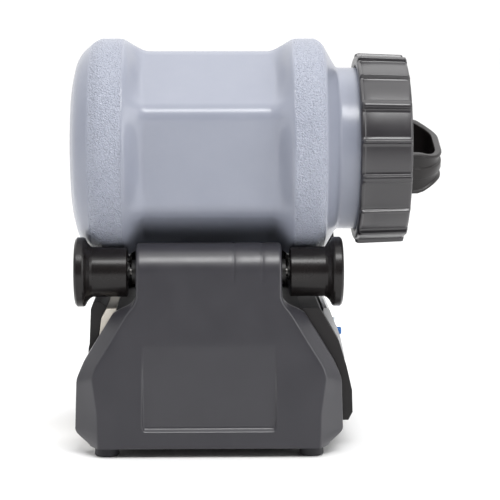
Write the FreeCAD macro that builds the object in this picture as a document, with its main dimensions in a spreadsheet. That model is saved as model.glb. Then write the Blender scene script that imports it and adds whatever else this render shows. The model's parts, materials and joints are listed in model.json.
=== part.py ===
# Bench-top rotary drum tumbler: a faceted drum lies on four rollers above a motor base.
# Frame: +X along the drum towards its cap, +Y away from the near side cover, +Z up, floor at Z = 0.
# The origin is the middle of the footprint. Lengths are in millimetres.
import FreeCAD, Part
import Sketcher
import math
import os
import re

# Driving dimensions. Positions named *_x are measured from the middle of the base.
DIMENSIONS = [
    ("drum_up", "250"),            # height of the drum's axis
    ("band_rad", "95"),            # the two bands that ride on the rollers
    ("facet_rad", "75.5"),         # axis to the middle of a facet
    ("facet_round", "17"),         # rounding between two facets
    ("facet_turn", "25"),          # corner nearest the near side, above the horizontal
    ("drum_wall", "4"),
    ("drum_back_x", "-117.5"),
    ("back_band_x", "-78"),        # inner end of the round part at the closed end
    ("neck_band_x", "78"),         # inner end of the round part at the neck
    ("neck_rad", "70"),
    ("neck_end_x", "152"),
    ("thread_pitch", "12"),
    ("thread_deep", "1.6"),
    ("ring_start_x", "126.6"),
    ("ring_end_x", "170"),
    ("ring_rad", "79.3"),
    ("ring_bore", "72.2"),
    ("rib_rad", "82.2"),
    ("grip_tip_x", "201.5"),
    ("grip_half", "40"),
    ("grip_turn", "20"),           # the grip's near leg hangs this far below level
    ("grip_low", "7"),             # the grip sits this far to one side of the lid's middle
    ("roller_rad", "21"),
    ("flange_rad", "29.3"),
    ("roll_gap", "0.3"),
    ("shaft_off", "59.5"),         # roller shafts, in front of and behind the drum's axis
    ("shaft_rad", "4"),
    ("tower_half", "61"),
    ("tower_rad", "24.5"),
    ("cover_wall", "3.6"),
    ("cover_toe", "105.5"),        # depth of the side covers at the floor
    ("cover_back", "70"),          # where the side covers meet the housing
    ("cover_lean", "8.5"),
    ("cover_flare", "13"),         # depth of the sloping flank round a side cover
    ("skirt_half", "112"),
    ("deck_up", "120"),
    ("housing_half", "69.7"),
    ("cap_start_x", "77.6"),       # where the end housings meet the deck
    ("base_low", "8"),
    ("plate_thick", "3"),
    ("wall_low", "=base_low+plate_thick"),
    ("foot_rad", "10.3"),
    ("foot_x", "85.5"),
    ("foot_y", "90"),
    ("pulley_rad", "15"),
    ("belt_x", "-38"),
    ("motor_y", "42"),
    ("motor_up", "50"),
    ("motor_rad", "26"),
    ("small_pulley_rad", "8"),
    ("shaft_up", "=drum_up-sqrt((band_rad+roller_rad+roll_gap)^2-shaft_off^2)"),
    ("base_mid", "=-(grip_tip_x+drum_back_x)/2"),
]

doc = FreeCAD.newDocument("DrumTumbler")
sheet = doc.addObject("Spreadsheet::Sheet", "Dims")
for row, (alias, text) in enumerate(DIMENSIONS, 1):
    sheet.set(f"A{row}", alias)
    sheet.set(f"B{row}", text)
    sheet.setAlias(f"B{row}", alias)
doc.recompute()

ALIASES = {alias for alias, _ in DIMENSIONS}
nodes = []


def size(text):
    """The present value of an expression in the driving dimensions."""
    return float(sheet.evalExpression(str(text)))


def bound(text):
    """The same expression as another object has to write it."""
    return re.sub(r"[a-z_]+", lambda m: "Dims." + m.group(0) if m.group(0) in ALIASES else m.group(0), str(text))


def keep(item, label):
    """Marks an object as a finished sub-part."""
    item.Label = label
    nodes.append(item)
    return item


def place(item, x="base_mid", y="0", z="0"):
    """Puts an object where three expressions say."""
    for letter, text in zip("xyz", (x, y, z)):
        item.setExpression(f"Placement.Base.{letter}", bound(text))
    return item


def new_body(name):
    return doc.addObject("PartDesign::Body", name)


def origin_plane(body, role):
    return next(f for f in body.Origin.OriginFeatures if f.Role == role)


def arc_centre(a, b, radius):
    """Centre of the arc from a to b: left of the chord for a positive radius, right for a negative."""
    chord = b - a
    half = chord.Length / 2
    rise = math.sqrt(max(radius * radius - half * half, 0.0))
    left = FreeCAD.Vector(-chord.y, chord.x, 0) / chord.Length
    return (a + b) / 2 + left * (rise if radius > 0 else -rise)


def arc_edge(a, b, radius):
    """Arc geometry from a to b, with a flag that tells whether it was drawn from b to a."""
    centre = arc_centre(a, b, radius)
    first, last = (a, b) if radius > 0 else (b, a)
    start = math.atan2(first.y - centre.y, first.x - centre.x)
    end = math.atan2(last.y - centre.y, last.x - centre.x)
    if end < start:
        end += 2 * math.pi
    circle = Part.Circle(centre, FreeCAD.Vector(0, 0, 1), abs(radius))
    return Part.ArcOfCircle(circle, start, end), radius < 0


def add_loop(sketch, corners):
    """Adds one closed outline. A corner is (u, v), or (u, v, radius) if an arc leaves it."""
    points = [FreeCAD.Vector(size(c[0]), size(c[1]), 0) for c in corners]
    starts = []
    ends = []
    for i, corner in enumerate(corners):
        a = points[i]
        b = points[(i + 1) % len(points)]
        if len(corner) == 3:
            edge, flipped = arc_edge(a, b, size(corner[2]))
            index = sketch.addGeometry(edge, False)
            number = sketch.addConstraint(Sketcher.Constraint("Radius", index, abs(size(corner[2]))))
            sketch.setExpression(f"Constraints[{number}]", bound(f"abs({corner[2]})"))
        else:
            flipped = False
            index = sketch.addGeometry(Part.LineSegment(a, b), False)
        starts.append((index, 2 if flipped else 1))
        ends.append((index, 1 if flipped else 2))
    for i in range(len(corners)):
        following = starts[(i + 1) % len(corners)]
        sketch.addConstraint(Sketcher.Constraint("Coincident", *ends[i], *following))
    for corner, start in zip(corners, starts):
        for kind, text in (("DistanceX", corner[0]), ("DistanceY", corner[1])):
            number = sketch.addConstraint(Sketcher.Constraint(kind, -1, 1, *start, size(text)))
            sketch.setExpression(f"Constraints[{number}]", bound(text))


def add_ring(sketch, u, v, radius):
    """Adds one circle."""
    centre = FreeCAD.Vector(size(u), size(v), 0)
    index = sketch.addGeometry(Part.Circle(centre, FreeCAD.Vector(0, 0, 1), size(radius)), False)
    for kind, text in (("DistanceX", u), ("DistanceY", v)):
        number = sketch.addConstraint(Sketcher.Constraint(kind, -1, 1, index, 3, size(text)))
        sketch.setExpression(f"Constraints[{number}]", bound(text))
    number = sketch.addConstraint(Sketcher.Constraint("Radius", index, size(radius)))
    sketch.setExpression(f"Constraints[{number}]", bound(radius))


def outline(body, role, loops=(), rings=(), lift="0", tilt="0", rise="0"):
    """A sketch on an origin plane, raised along its normal, moved up it and tilted about its first axis."""
    sketch = body.newObject("Sketcher::SketchObject", body.Name + "Outline")
    sketch.AttachmentSupport = [(origin_plane(body, role), "")]
    sketch.MapMode = "FlatFace"
    turn = FreeCAD.Rotation(FreeCAD.Vector(1, 0, 0), size(tilt))
    sketch.AttachmentOffset = FreeCAD.Placement(FreeCAD.Vector(0, size(rise), size(lift)), turn)
    sketch.setExpression("AttachmentOffset.Base.z", bound(lift))
    sketch.setExpression("AttachmentOffset.Base.y", bound(rise))
    for corners in loops:
        add_loop(sketch, corners)
    for u, v, radius in rings:
        add_ring(sketch, u, v, radius)
    return sketch


def extrude(body, kind, sketch, length, both=False, back=False):
    """A Pad or Pocket of the sketch."""
    feature = body.newObject("PartDesign::" + kind, body.Name + kind)
    feature.Profile = sketch
    feature.SideType = "Symmetric" if both else "One side"
    feature.Reversed = back
    feature.setExpression("Length", bound(length))
    doc.recompute()
    return feature


def revolve(body, kind, sketch, axis="H_Axis"):
    """A full-turn Revolution or Groove of the sketch."""
    feature = body.newObject("PartDesign::" + kind, body.Name + kind)
    feature.Profile = sketch
    feature.ReferenceAxis = (sketch, [axis])
    feature.Angle = 360
    doc.recompute()
    return feature


def loft(body, kind, first, last):
    """A straight-sided AdditiveLoft or SubtractiveLoft between two sketches."""
    feature = body.newObject("PartDesign::" + kind, body.Name + kind)
    feature.Profile = first
    feature.Sections = [last]
    feature.Ruled = True
    doc.recompute()
    return feature


def turned(label, corners, y="0", z="0"):
    """A part turned about a line along X. Corners are (x, radius)."""
    body = new_body(label)
    revolve(body, "Revolution", outline(body, "XY_Plane", [corners]))
    return place(body, "base_mid", y, z)


def upright(label, corners, x="0", y="0", z="0"):
    """A part turned about a vertical line. Corners are (radius, height)."""
    body = new_body(label)
    revolve(body, "Revolution", outline(body, "XZ_Plane", [corners]), "V_Axis")
    return place(body, x, y, z)


def repeated(label, source, spots):
    """One sub-part made of several equal solids. A spot is (x, y, z)."""
    links = []
    for spot in spots:
        link = doc.addObject("App::Link", label + "Copy")
        link.LinkedObject = source
        link.LinkTransform = True
        place(link, *spot)
        links.append(link)
    group = doc.addObject("Part::Compound", label)
    group.Links = links
    doc.recompute()
    return keep(group, label)


def mirrored(label, source, normal):
    """The source's mirror image in the plane through the middle of the base."""
    twin = doc.addObject("Part::Mirroring", label)
    twin.Source = source
    twin.Normal = normal
    twin.setExpression("Base.x", bound("base_mid"))
    doc.recompute()
    return twin


def both_ends(label, source):
    """One sub-part made of a solid and its mirror image at the other end of the base."""
    pair = doc.addObject("Part::Compound", label)
    pair.Links = [source, mirrored(label + "Twin", source, FreeCAD.Vector(1, 0, 0))]
    doc.recompute()
    return keep(pair, label)


def fused(label, items):
    joined = doc.addObject("Part::MultiFuse", label)
    joined.Shapes = items
    joined.Refine = False
    doc.recompute()
    return joined


def cut(label, base, tool):
    left = doc.addObject("Part::Cut", label)
    left.Base = base
    left.Tool = tool
    doc.recompute()
    return left


def skin(name, shape):
    """A shape that only a formula describes."""
    item = doc.addObject("Part::Feature", name)
    item.Shape = shape
    return place(item)


# ---------------------------------------------------------------- drum
def facet_radius(angle):
    """Distance from the axis to the rounded hexagon, at an angle in degrees above the near side."""
    flat = size("facet_rad")
    bend = size("facet_round")
    corner = (angle - size("facet_turn") + 30) % 60 - 30
    reach = (flat - bend) / math.cos(math.radians(30))
    side = reach * math.sin(math.radians(corner))
    start = 30 - math.degrees(math.atan(reach * math.sin(math.radians(30)) / flat))
    if abs(corner) < start:
        return reach * math.cos(math.radians(corner)) + math.sqrt(bend * bend - side * side)
    return flat / math.cos(math.radians(30 - abs(corner)))


def drum_radius(inward, angle):
    """Distance from the axis to the drum's middle, a distance in from the nearer round part.

    The slope from the band down to a facet is shorter and steeper where the facet lies deeper.
    """
    band = size("band_rad") - 0.3
    facet = facet_radius(angle)
    corner = facet_radius(size("facet_turn"))
    depth = (corner - facet) / (corner - size("facet_rad"))
    start = 0.5 + 5 * depth
    end = 28 - 5 * depth
    share = min(max((inward - start) / (end - start), 0.0), 1.0)
    return facet + (band - facet) * (0.5 + 0.5 * math.cos(math.pi * share))


def drum_skin(name, edge_back, edge_neck, inset):
    """The solid inside the drum's middle, all round the axis, kept a distance inside the outer skin."""
    sections = []
    steps = 60
    last = edge_neck - edge_back
    stations = [-2, 0.5, 3, 6, 9, 12, 15, 18, 21, 24, 28, 34]
    positions = stations + [last / 2] + [last - s for s in reversed(stations)]
    for step in positions:
        x = edge_back + step
        points = []
        for i in range(steps):
            angle = size("facet_turn") + 360 * i / steps
            radius = drum_radius(min(step, last - step), angle) - inset
            across = -radius * math.cos(math.radians(angle))
            up = radius * math.sin(math.radians(angle))
            points.append(FreeCAD.Vector(x, across, up))
        curve = Part.BSplineCurve()
        curve.interpolate(points, PeriodicFlag=True)
        sections.append(Part.Wire(curve.toShape()))
    item = skin(name, Part.makeLoft(sections, True, False))
    return place(item, "base_mid", "0", "drum_up")


def screw_ridge(name, radius, height, start_x, turns):
    """A ridge wound round the drum's axis. A negative height winds it inside a bore."""
    helix = Part.makeHelix(size("thread_pitch"), size("thread_pitch") * turns, radius)
    half_root = 1.9
    half_tip = 0.9
    sink = -0.4 if height > 0 else 0.4
    corners = [(radius + sink, -half_root), (radius + height, -half_tip),
               (radius + height, half_tip), (radius + sink, half_root)]
    points = [FreeCAD.Vector(r, 0, z) for r, z in corners]
    profile = Part.makePolygon(points + points[:1])
    ridge = Part.Wire(helix).makePipeShell([profile], True, True)
    ridge.rotate(FreeCAD.Vector(0, 0, 0), FreeCAD.Vector(0, 0, 1), 37)
    ridge.rotate(FreeCAD.Vector(0, 0, 0), FreeCAD.Vector(0, 1, 0), 90)
    return place(skin(name, ridge), "base_mid+" + start_x, "0", "drum_up")


def drum_shell():
    back = size("back_band_x")
    neck = size("neck_band_x")
    closed_end = turned("DrumClosedEnd", [
        ("drum_back_x", "0"), ("drum_back_x", "band_rad-62"), ("drum_back_x+0.9", "band_rad-42"),
        ("drum_back_x+3.6", "band_rad-27", "-30"), ("drum_back_x+15.5", "band_rad-7", "-26"),
        ("drum_back_x+26.5", "band_rad"), ("back_band_x-0.4", "band_rad"),
        ("back_band_x+0.8", "band_rad-1.2"), ("back_band_x+0.8", "0")], z="drum_up")
    neck_end = turned("DrumNeckEnd", [
        ("neck_band_x-0.8", "0"), ("neck_band_x-0.8", "band_rad-1.2"), ("neck_band_x+0.4", "band_rad"),
        ("neck_band_x+13", "band_rad", "-16"), ("neck_band_x+23", "band_rad-9.8"),
        ("neck_band_x+30.5", "neck_rad+2.5", "5"), ("neck_band_x+34", "neck_rad"),
        ("neck_end_x", "neck_rad"), ("neck_end_x", "0")], z="drum_up")
    middle = drum_skin("DrumMiddle", back, neck, 0)
    ridge = screw_ridge("DrumThread", size("neck_rad"), size("thread_deep"), "131.5", 1.25)
    outside = fused("DrumOutside", [closed_end, middle, neck_end, ridge])
    hollow_back = turned("DrumHollowBack", [
        ("drum_back_x+drum_wall", "0"), ("drum_back_x+drum_wall", "12"),
        ("drum_back_x+drum_wall+1", "band_rad-44"),
        ("drum_back_x+drum_wall+5", "band_rad-30"), ("drum_back_x+drum_wall+18.5", "band_rad-drum_wall-4.5"),
        ("drum_back_x+drum_wall+25", "band_rad-drum_wall-0.5"),
        ("back_band_x+1", "band_rad-drum_wall-0.5"), ("back_band_x+1", "0")], z="drum_up")
    hollow_neck = turned("DrumHollowNeck", [
        ("neck_band_x-1", "0"), ("neck_band_x-1", "band_rad-drum_wall-0.5"),
        ("neck_band_x+12", "band_rad-drum_wall-0.5"), ("neck_band_x+20", "band_rad-drum_wall-9"),
        ("neck_band_x+28", "neck_rad-drum_wall+1"), ("neck_band_x+31", "neck_rad-drum_wall-1.5"),
        ("neck_end_x+1", "neck_rad-drum_wall-1.5"), ("neck_end_x+1", "0")], z="drum_up")
    hollow_middle = drum_skin("DrumHollowMiddle", back, neck, size("drum_wall"))
    hollow = fused("DrumHollow", [hollow_back, hollow_middle, hollow_neck])
    keep(cut("DrumShell", outside, hollow), "drum_shell")


# ---------------------------------------------------------------- lid and ring
def lid_disc():
    """Round lid with a rigid loop grip moulded on its face."""
    body = new_body("Lid")
    disc = [("neck_end_x+1.6", "0"), ("neck_end_x+1.6", "neck_rad+1.2"), ("neck_end_x+10", "neck_rad+1.2"),
            ("neck_end_x+10", "ring_bore-14"), ("ring_end_x-1", "ring_bore-14"), ("ring_end_x-1", "0")]
    revolve(body, "Revolution", outline(body, "XY_Plane", [disc]))
    root = "ring_end_x-2"
    bar = "6.5"
    half = "grip_half"
    loop = [(root, "-" + half), ("grip_tip_x-22", "-" + half, "26"), ("grip_tip_x", "-15"),
            ("grip_tip_x", "15", "26"), ("grip_tip_x-22", half), (root, half)]
    inner = f"{half}-{bar}"
    space = [("ring_end_x-1", f"-({inner})"), ("grip_tip_x-22", f"-({inner})", "22"),
             (f"grip_tip_x-{bar}", "-13"), (f"grip_tip_x-{bar}", "13", "22"),
             ("grip_tip_x-22", inner), ("ring_end_x-1", inner)]
    low = "-grip_low"
    extrude(body, "Pad", outline(body, "XY_Plane", [loop], lift=low), "38", both=True)
    extrude(body, "Pocket", outline(body, "XY_Plane", [space], lift=low), "44", both=True)
    for side in "+-":
        wedge = [("ring_end_x+4", f"{low}{side}19"), ("grip_tip_x+1", f"{low}{side}12.5"),
                 ("grip_tip_x+1", f"{low}{side}23"), ("ring_end_x+4", f"{low}{side}23")]
        extrude(body, "Pocket", outline(body, "XZ_Plane", [wedge]), "120", both=True)
    for side in "+-":
        groove = [(x, f"{low}{side}{z}") for x, z in
                  (("grip_tip_x-1.2", 2.5), ("grip_tip_x+1", 2.5), ("grip_tip_x+1", 9), ("grip_tip_x-1.2", 9))]
        extrude(body, "Pocket", outline(body, "XZ_Plane", [groove]), "30", both=True)
    place(body, "base_mid", "0", "drum_up")
    body.Placement.Rotation = FreeCAD.Rotation(FreeCAD.Vector(1, 0, 0), 0)
    body.setExpression("Placement.Rotation.Angle", bound("grip_turn"))
    keep(body, "lid_disc")


def lid_gasket():
    ring = [("neck_end_x+0.1", "neck_rad-6"), ("neck_end_x+0.1", "neck_rad"),
            ("neck_end_x+1.6", "neck_rad"), ("neck_end_x+1.6", "neck_rad-6")]
    keep(turned("LidGasket", ring, z="drum_up"), "lid_gasket")


def lock_ring():
    """Ribbed ring that screws onto the neck and holds the lid down."""
    body = new_body("Ring")
    wall = [("ring_start_x", "ring_bore"), ("ring_start_x", "ring_rad+0.6"),
            ("ring_start_x+3.5", "ring_rad+0.6"), ("ring_start_x+3.5", "ring_rad"),
            ("ring_end_x-2", "ring_rad-1"), ("ring_end_x", "ring_rad-3"),
            ("ring_end_x", "ring_bore-12.5"), ("ring_end_x-6.8", "ring_bore-12.5"),
            ("ring_end_x-6.8", "ring_bore")]
    revolve(body, "Revolution", outline(body, "XY_Plane", [wall]))
    rib = [("ring_start_x+1", "ring_rad-2"), ("ring_start_x+1", "rib_rad"),
           ("ring_end_x-5", "rib_rad-0.8"), ("ring_end_x-1", "rib_rad-4"), ("ring_end_x-1", "ring_rad-5")]
    pad = extrude(body, "Pad", outline(body, "XZ_Plane", [rib]), "5", both=True)
    array = body.newObject("PartDesign::PolarPattern", "RingRibs")
    array.Originals = [pad]
    array.Axis = (origin_plane(body, "X_Axis"), [""])
    array.Angle = 360
    array.Occurrences = 16
    body.Tip = array
    place(body, "base_mid", "0", "drum_up")
    doc.recompute()
    thread = screw_ridge("RingThread", size("ring_bore"), -size("thread_deep"), "131.5+thread_pitch/2", 1.05)
    keep(fused("RingWhole", [body, thread]), "lock_ring")


# ---------------------------------------------------------------- rollers
def roller(label, y):
    """Rubber-faced roller with a flange that keeps the drum between the two ends."""
    corners = [("68", "shaft_rad"), ("68", "roller_rad-2"), ("69", "roller_rad"), ("97.5", "roller_rad"),
               ("99.5", "roller_rad+1"), ("102", "roller_rad+3.5"), ("104", "flange_rad-0.8"),
               ("105.4", "flange_rad"), ("110.4", "flange_rad"), ("112", "flange_rad-1.6"),
               ("112.6", "flange_rad-4"), ("112.6", "10"), ("111.6", "9"), ("109.4", "9"),
               ("109.4", "shaft_rad")]
    return turned(label, corners, y, "shaft_up")


def shaft_line(side, y):
    """One steel shaft with everything that turns with it."""
    shaft = [("-112.2", "0"), ("-112.2", "shaft_rad-0.5"), ("-111.7", "shaft_rad"),
             ("111.7", "shaft_rad"), ("112.2", "shaft_rad-0.5"), ("112.2", "0")]
    keep(turned(side + "Shaft", shaft, y, "shaft_up"), side.lower() + "_shaft")
    both_ends(side.lower() + "_rollers", roller(side + "Roller", y))
    clip = [("109.6", "shaft_rad"), ("109.6", "7"), ("110.8", "7"), ("110.8", "shaft_rad")]
    both_ends(side.lower() + "_clips", turned(side + "Clip", clip, y, "shaft_up"))
    washer = [("66.4", "shaft_rad"), ("66.4", "7.5"), ("67.8", "7.5"), ("67.8", "shaft_rad")]
    both_ends(side.lower() + "_washers", turned(side + "Washer", washer, y, "shaft_up"))


def bushings(side, y):
    """Flanged plain bearings pressed into the end walls of a tower."""
    bush = [("tower_half-cover_wall-3", "shaft_rad+0.05"), ("tower_half-cover_wall-3", "8"),
            ("tower_half", "8"), ("tower_half", "10.5"), ("tower_half+3.6", "10"),
            ("tower_half+3.6", "shaft_rad+0.05")]
    both_ends(side.lower() + "_bushings", turned(side + "Bushing", bush, y, "shaft_up"))


def pulley(label, x, radius, bore, y, z):
    """Grooved pulley for a round belt."""
    corners = [(f"{x}-5", bore), (f"{x}-5", f"{radius}+1.5"), (f"{x}-3.5", f"{radius}+1.5"),
               (f"{x}-1", f"{radius}-2.2"), (f"{x}+1", f"{radius}-2.2"), (f"{x}+3.5", f"{radius}+1.5"),
               (f"{x}+5", f"{radius}+1.5"), (f"{x}+5", bore)]
    return turned(label, corners, y, z)


# ---------------------------------------------------------------- side covers
def cover_faces(inset, low):
    """Outlines of a side cover's front face and of the skirt behind it, from its lower edge up."""
    top = "147-" + inset
    face = [("tower_half", top), ("tower_half", "124.4"), ("63.5", "118"), ("68", "111.2"),
            ("84.5", "83.9"), ("95", "67.2"), ("97.6", "58.6"), ("93", "28.3"), ("92.5", low)]
    skirt = [("tower_half", top), ("tower_half", "123.3"), ("67.5", "116.2"), ("79", "112.5"),
             ("92", "91.4"), ("105", "69.8"), ("skirt_half-1", "55.6"), ("skirt_half", "12.1"), ("98.5", low)]
    outlines = []
    for corners in (face, skirt):
        right = [(f"{u}-{inset}", v) for u, v in corners]
        outlines.append(right + [(f"-({u})", v) for u, v in reversed(right)])
    return outlines


def tower_side(inset, floor):
    """Side view of a tower: leaning front, round top, upright back, standing on the deck."""
    radius = f"(tower_rad-{inset})"
    front = f"-shaft_off-{radius}*cos(cover_lean)"
    front_up = f"shaft_up+{radius}*sin(cover_lean)"
    back = f"-shaft_off+{radius}"
    toe = f"-cover_toe+{inset}/cos(cover_lean)+60*tan(cover_lean)"
    return [(front, front_up, "-" + radius), (back, "shaft_up"), (back, floor),
            ("-cover_back", floor), ("-cover_back", "base_low+60"), (toe, "base_low+60")]


def cover_shape(body):
    """The cover's outside: sloping flanks round a leaning face, cut off upright at the back."""
    face, skirt = cover_faces("0", "0")
    lean = "-cover_lean"
    front = outline(body, "XZ_Plane", [face], lift="cover_toe", tilt=lean, rise="base_low")
    behind = outline(body, "XZ_Plane", [skirt], lift="cover_toe-cover_flare", tilt=lean, rise="base_low")
    loft(body, "AdditiveLoft", front, behind)
    extrude(body, "Pad", behind, "30", back=True)
    trim = [("-130", "-10"), ("130", "-10"), ("130", "200"), ("-130", "200")]
    extrude(body, "Pocket", outline(body, "XZ_Plane", [trim], lift="cover_back"), "80")
    under = [("-130", "-10"), ("130", "-10"), ("130", "base_low"), ("-130", "base_low")]
    extrude(body, "Pocket", outline(body, "XZ_Plane", [under], lift="130"), "130")
    tower = outline(body, "YZ_Plane", [tower_side("0", "deck_up")])
    extrude(body, "Pad", tower, "2*tower_half", both=True)


def cover_hollow(body):
    """Empties the cover from its lower edge and its back."""
    face, skirt = cover_faces("cover_wall", "-2")
    lean = "-cover_lean"
    front = outline(body, "XZ_Plane", [face], lift="cover_toe-cover_wall", tilt=lean, rise="base_low")
    behind = outline(body, "XZ_Plane", [skirt], lift="cover_toe-cover_flare-cover_wall*0.6", tilt=lean,
                     rise="base_low")
    loft(body, "SubtractiveLoft", front, behind)
    extrude(body, "Pocket", behind, "27")
    tower = outline(body, "YZ_Plane", [tower_side("cover_wall", "deck_up-2")])
    extrude(body, "Pocket", tower, "2*(tower_half-cover_wall)", both=True)


def cover_panel(body):
    """A panel on the face that sinks deeper towards its lower end."""
    lean_y = "sin(cover_lean)"
    lean_z = "cos(cover_lean)"
    wedge = [(f"-cover_toe+83*{lean_y}", f"base_low+83*{lean_z}"),
             (f"-cover_toe+13*{lean_y}-2", f"base_low+13*{lean_z}"),
             (f"-cover_toe+13*{lean_y}+2*{lean_z}", f"base_low+13*{lean_z}-2*{lean_y}")]
    extrude(body, "Pocket", outline(body, "YZ_Plane", [wedge]), "111", both=True)


def cover_bosses(body):
    """Posts for the foot screws, running up into the leaning face."""
    spots = [(f"{a}foot_x", "-foot_y") for a in ("", "-")]
    posts = outline(body, "XY_Plane", rings=[(u, v, "5") for u, v in spots], lift="base_low+plate_thick")
    extrude(body, "Pad", posts, "46")
    holes = outline(body, "XY_Plane", rings=[(u, v, "1.95") for u, v in spots], lift="base_low")
    extrude(body, "Pocket", holes, "18", back=True)


def side_covers():
    """Two equal moulded covers, each with a tower for one roller shaft."""
    body = new_body("Cover")
    cover_shape(body)
    cover_hollow(body)
    cover_panel(body)
    bores = outline(body, "YZ_Plane", rings=[("-shaft_off", "shaft_up", "8")])
    extrude(body, "Pocket", bores, "2*tower_half+2", both=True)
    cover_bosses(body)
    place(body)
    doc.recompute()
    keep(body, "near_side_cover")
    keep(mirrored("FarCover", body, FreeCAD.Vector(0, 1, 0)), "far_side_cover")


# ---------------------------------------------------------------- housing
def base_housing():
    """Deck between the two towers, with an upright wall at each end."""
    body = new_body("Housing")
    shell = [("-cap_start_x", "wall_low"), ("-cap_start_x", "deck_up"), ("cap_start_x", "deck_up"),
             ("cap_start_x", "wall_low"), ("cap_start_x-3", "wall_low"), ("cap_start_x-3", "deck_up-3"),
             ("-(cap_start_x-3)", "deck_up-3"), ("-(cap_start_x-3)", "wall_low")]
    extrude(body, "Pad", outline(body, "XZ_Plane", [shell]), "2*housing_half", both=True)
    for side in ("", "-"):
        edge = side + "(housing_half+1)"
        slot = [("-54", side + "37.6"), ("54", side + "37.6"), ("54", edge), ("-54", edge)]
        extrude(body, "Pocket", outline(body, "XY_Plane", [slot], lift="deck_up+1"), "6")
    for lift, outward in (("70", True), ("-70", False)):
        wires = outline(body, "YZ_Plane", rings=[("0", "80", "6"), ("-42", "22", "6")], lift=lift)
        extrude(body, "Pocket", wires, "20", back=outward)
    keep(place(body), "base_housing")


def bottom_plate():
    """Plate that closes the base from below, with air slots and screw holes."""
    body = new_body("Plate")
    quarter = [("88.5", "0"), ("88.5", "71"), ("93.5", "71"), ("93.5", "85"), ("87.5", "99.5")]
    left = [(f"-({u})", v) for u, v in reversed(quarter)]
    upper = quarter + left
    lower = [(u, "-" + v) for u, v in reversed(upper)]
    ring = upper + [c for c in lower if c[1] != "-0"]
    pad = outline(body, "XY_Plane", [ring], lift="base_low")
    extrude(body, "Pad", pad, "plate_thick")
    for number in range(7):
        x = -36 + 12 * number
        slot = [(str(x), "-60"), (str(x + 5), "-60"), (str(x + 5), "-15"), (str(x), "-15")]
        extrude(body, "Pocket", outline(body, "XY_Plane", [slot], lift="base_low+5"), "10")
    spots = [(f"{a}foot_x", f"{b}foot_y", "2.1") for a in ("", "-") for b in ("", "-")]
    spots += [("8", f"motor_y{a}16", "1.7") for a in ("+", "-")]
    holes = outline(body, "XY_Plane", rings=spots, lift="base_low+5")
    extrude(body, "Pocket", holes, "10")
    keep(place(body), "bottom_plate")


def foot_spots():
    return [(f"base_mid{a}foot_x", f"{b}foot_y", "0") for a in ("+", "-") for b in ("+", "-")]


def feet():
    """Rubber feet and the screws that hold them."""
    foot = upright("Foot", [("4.5", "0"), ("foot_rad-1", "0"), ("foot_rad", "1.2"), ("foot_rad-0.6", "base_low"),
                            ("2.1", "base_low"), ("2.1", "4"), ("4.5", "4")])
    repeated("feet", foot, foot_spots())
    screw = upright("FootScrew", [("0", "1.8"), ("4", "1.8"), ("4", "4"), ("1.95", "4"),
                                  ("1.95", "24"), ("0", "25")])
    repeated("foot_screws", screw, foot_spots())


# ---------------------------------------------------------------- ends of the base
def rear_panel():
    """Pale end housing with a leaning rear wall, an air outlet and a hole for the cord."""
    body = new_body("RearPanel")
    side = [("-(cap_start_x+0.2)", "wall_low"), ("-88.5", "wall_low"), ("-96.5", "30"), ("-97", "62"),
            ("-90.4", "112"), ("-86", "deck_up"), ("-(cap_start_x+0.2)", "deck_up")]
    extrude(body, "Pad", outline(body, "XZ_Plane", [side]), "2*housing_half", both=True)
    inner = [("-76", "wall_low-1"), ("-85.2", "wall_low-1"), ("-93.5", "31"), ("-94", "61.5"),
             ("-87.5", "111"), ("-84.4", "deck_up-3"), ("-76", "deck_up-3")]
    extrude(body, "Pocket", outline(body, "XZ_Plane", [inner]), "2*housing_half-6", both=True)
    window = [("-50", "86"), ("50", "86"), ("50", "106"), ("-50", "106")]
    extrude(body, "Pocket", outline(body, "YZ_Plane", [window], lift="-80"), "30")
    inlet = outline(body, "YZ_Plane", rings=[("-42", "22", "5.5")], lift="-80")
    extrude(body, "Pocket", inlet, "30")
    keep(place(body), "rear_panel")


def rear_louvre():
    """Dark air outlet with slanted slats that stands out from the rear wall and above the deck."""
    body = new_body("Louvre")
    side = [("-94.2", "84.5"), ("-100.5", "84.5"), ("-101.4", "87.4"), ("-100", "118"), ("-97.6", "deck_up+4.5"),
            ("-92", "deck_up+4.5"), ("-86.2", "deck_up+0.2"), ("-90.6", "112")]
    extrude(body, "Pad", outline(body, "XZ_Plane", [side]), "116", both=True)
    inner = [("-90", "86.5"), ("-98.2", "86.5"), ("-98.9", "89"), ("-97.6", "113"), ("-94", "116"),
             ("-92.6", "112"), ("-89", "88")]
    extrude(body, "Pocket", outline(body, "XZ_Plane", [inner]), "110", both=True)
    for number in range(5):
        low = 88.5 + 4.8 * number
        slot = [("-50", str(low)), ("50", str(low)), ("50", str(low + 2.4)), ("-50", str(low + 2.4))]
        extrude(body, "Pocket", outline(body, "YZ_Plane", [slot], lift="-96"), "12")
    keep(place(body), "rear_louvre")


# Push buttons: name, sideways place, height, radius and the wall's inner face behind which the collar sits.
BUTTONS = [("power_button", "0", "89", "3.4", "105"), ("timer_button", "26", "79.5", "4.2", "108.5")]
LENS = ("13", "97")                # sideways place and height of the running light


def control_bores(body):
    """Holes for the buttons and the running light, through the front of the panel."""
    rings = [(y, up, f"{radius}+0.35") for _, y, up, radius, _ in BUTTONS]
    rings.append((*LENS, "2.1"))
    extrude(body, "Pocket", outline(body, "YZ_Plane", rings=rings, lift="95"), "30", back=True)


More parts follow.
